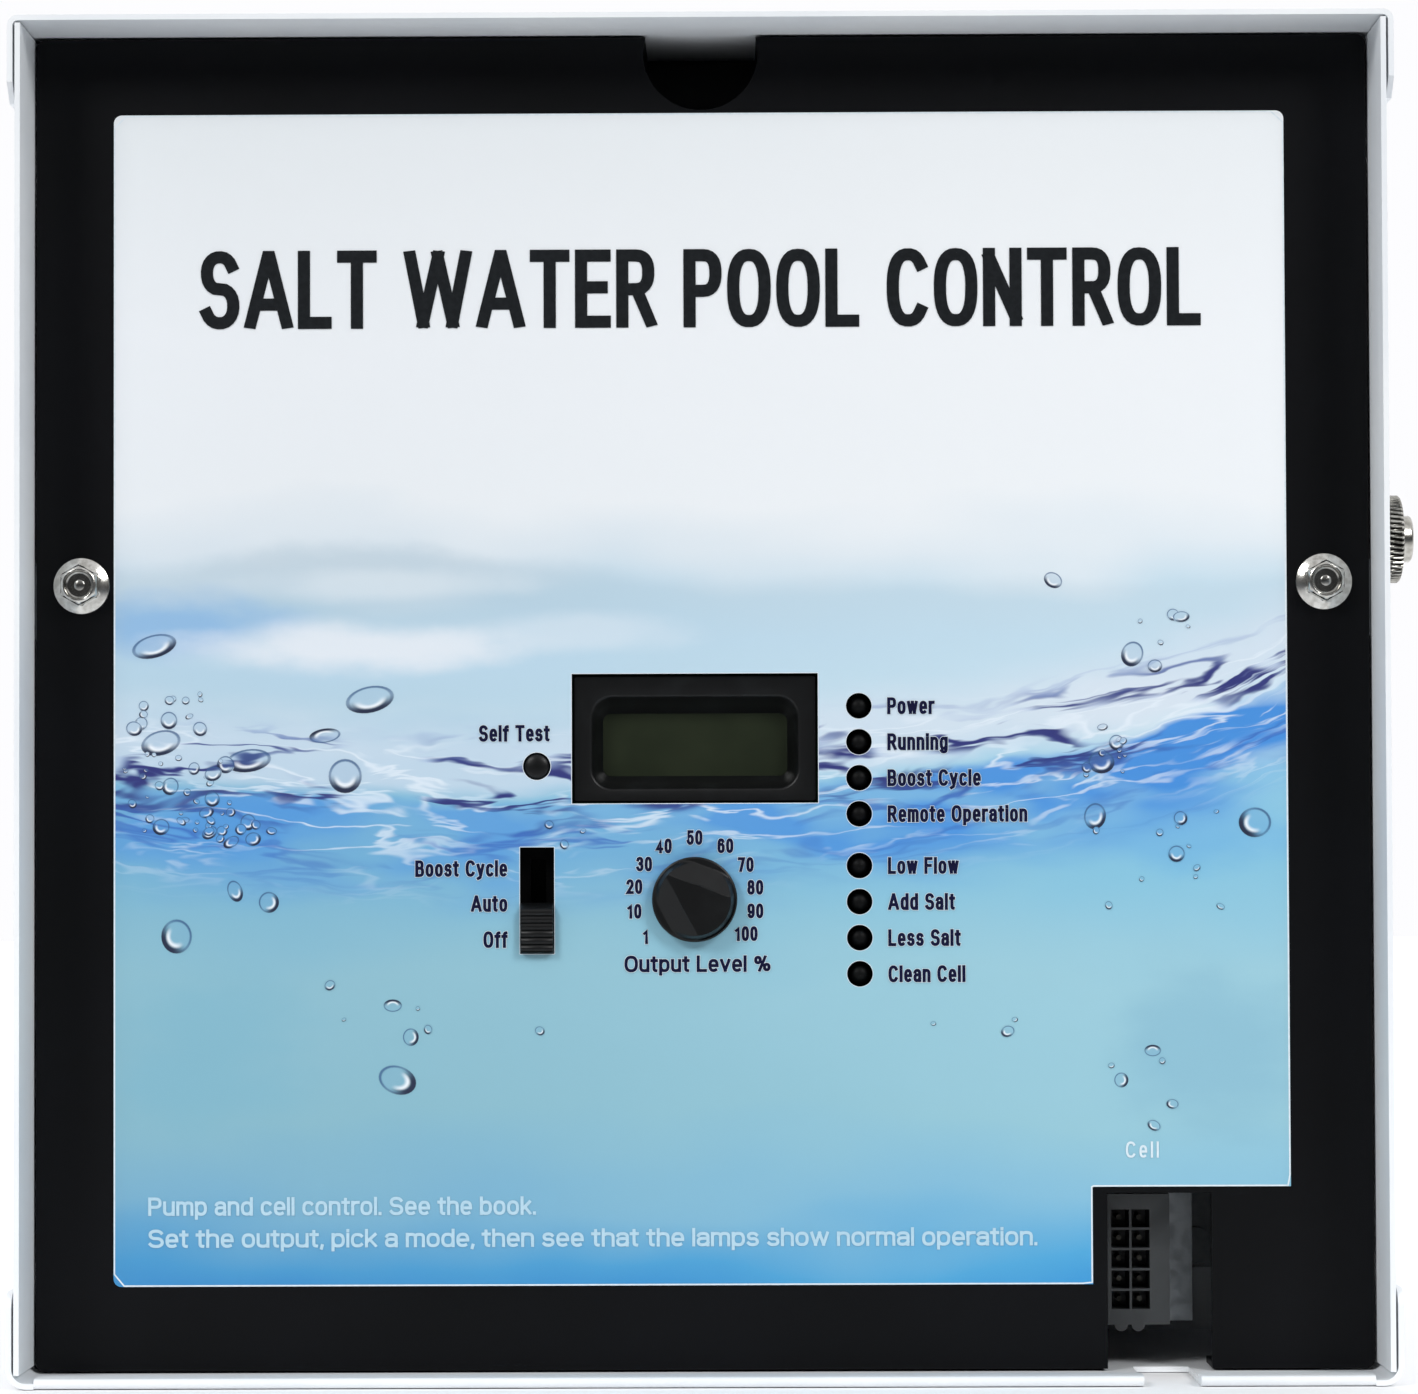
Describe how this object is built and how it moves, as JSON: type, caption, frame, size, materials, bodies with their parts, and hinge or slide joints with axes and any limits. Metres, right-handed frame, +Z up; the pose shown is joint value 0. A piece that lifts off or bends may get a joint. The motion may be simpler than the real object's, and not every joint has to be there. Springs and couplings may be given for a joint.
{
  "type": "salt chlorine generator",
  "caption": "Wall-mounted sheet-steel control box of a pool salt chlorine generator, with a recessed printed panel, display, knob, switch and cell socket.",
  "frame": {"origin": "centre of the rear mounting face, in the middle of the four wall holes", "axes": "+X right, +Z up, the front looks along -Y, +Y goes into the wall"},
  "size_m": [0.3106, 0.12, 0.3],
  "materials": {
    "powder_white": "satin",
    "panel_black": "satin",
    "label_print": "gloss",
    "zinc_plate": "satin",
    "bright_nickel": "polished",
    "black_abs": "satin",
    "display_glass": "gloss",
    "smoked_lens": "gloss",
    "board_green": "satin",
    "brass": "satin",
    "housing_grey": "satin",
    "housing_blue": "satin",
    "fuse_glass": "gloss",
    "terminal_green": "satin",
    "bare_aluminium": "brushed",
    "winding_tape": "satin",
    "black_rubber": "matte",
    "wire_insulation": "satin",
    "nylon_natural": "satin"
  },
  "bodies": {
    "enclosure": {"enclosure_body": "powder_white", "top_cap": "powder_white", "bottom_cap": "powder_white", "rivets": "zinc_plate", "conduit_knockouts": "powder_white", "inner_panel": "panel_black", "finger_pocket": "panel_black", "front_label": "label_print", "panel_brackets": "zinc_plate", "bracket_nuts": "zinc_plate", "panel_screws": "bright_nickel", "lcd_bezel": "black_abs", "lcd_glass": "display_glass", "lcd_module": "housing_grey", "led_lamps": "smoked_lens", "led_spacers": "black_abs", "display_board": "board_green", "display_standoffs": "brass", "display_screws": "zinc_plate", "display_chips": "black_abs", "potentiometer_body": "housing_blue", "mode_switch_body": "black_abs", "diagnostic_switch_body": "black_abs", "button_spring": "zinc_plate", "ribbon_cable": "housing_grey", "ribbon_headers": "black_abs", "main_board": "board_green", "board_standoffs": "brass", "board_screws": "zinc_plate", "main_chips": "black_abs", "relays": "housing_blue", "capacitors": "housing_blue", "surge_varistors": "housing_blue", "line_fuse": "fuse_glass", "fuse_clips": "zinc_plate", "mains_terminal": "terminal_green", "terminal_screws": "zinc_plate", "heat_sink": "bare_aluminium", "rectifiers": "black_abs", "rectifier_screws": "zinc_plate", "transformer_winding": "winding_tape", "transformer_pads": "black_rubber", "transformer_plate": "zinc_plate", "transformer_bolt": "zinc_plate", "transformer_leads": "wire_insulation", "flow_switch_jack": "black_abs", "cell_socket": "nylon_natural", "cell_contacts": "brass", "cell_leads": "wire_insulation", "socket_bracket": "zinc_plate", "bracket_screws": "zinc_plate", "ground_bar": "brass", "ground_screws": "terminal_green", "thumb_stud": "zinc_plate"},
    "output_knob": {"output_knob": "black_abs", "potentiometer_shaft": "zinc_plate"},
    "mode_slider": {"mode_slider": "black_abs"},
    "diagnostic_button": {"diagnostic_button": "black_abs"},
    "thumb_washer": {"thumb_washer": "nylon_natural"},
    "thumb_nut": {"thumb_nut": "bright_nickel"}
  },
  "joints": [
    {"name": "output_knob_turn", "type": "hinge", "parent": "enclosure", "child": "output_knob", "pos_m": [-0.0019, -0.1, -0.0442], "axis": [0, -1, 0], "range_deg": [-172, 79]},
    {"name": "mode_slider_slide", "type": "slide", "parent": "enclosure", "child": "mode_slider", "axis": [0, 0, 1], "range_m": [0, 0.0121]},
    {"name": "diagnostic_button_press", "type": "slide", "parent": "enclosure", "child": "diagnostic_button", "axis": [0, 1, 0], "range_m": [0, 0.0015], "stiffness_N_per_m": 400, "springref_m": -0.0005},
    {"name": "thumb_nut_advance", "type": "slide", "parent": "enclosure", "child": "thumb_washer", "axis": [1, 0, 0], "range_m": [0, 0.0024]},
    {"name": "thumb_nut_turn", "type": "hinge", "parent": "thumb_washer", "child": "thumb_nut", "pos_m": [0.155, -0.09, 0.036], "axis": [1, 0, 0], "range_deg": [0, 1085]}
  ],
  "couplings": [
    {"joint": "thumb_nut_turn", "follows": "thumb_nut_advance", "rad_per_m": 7854}
  ]
}
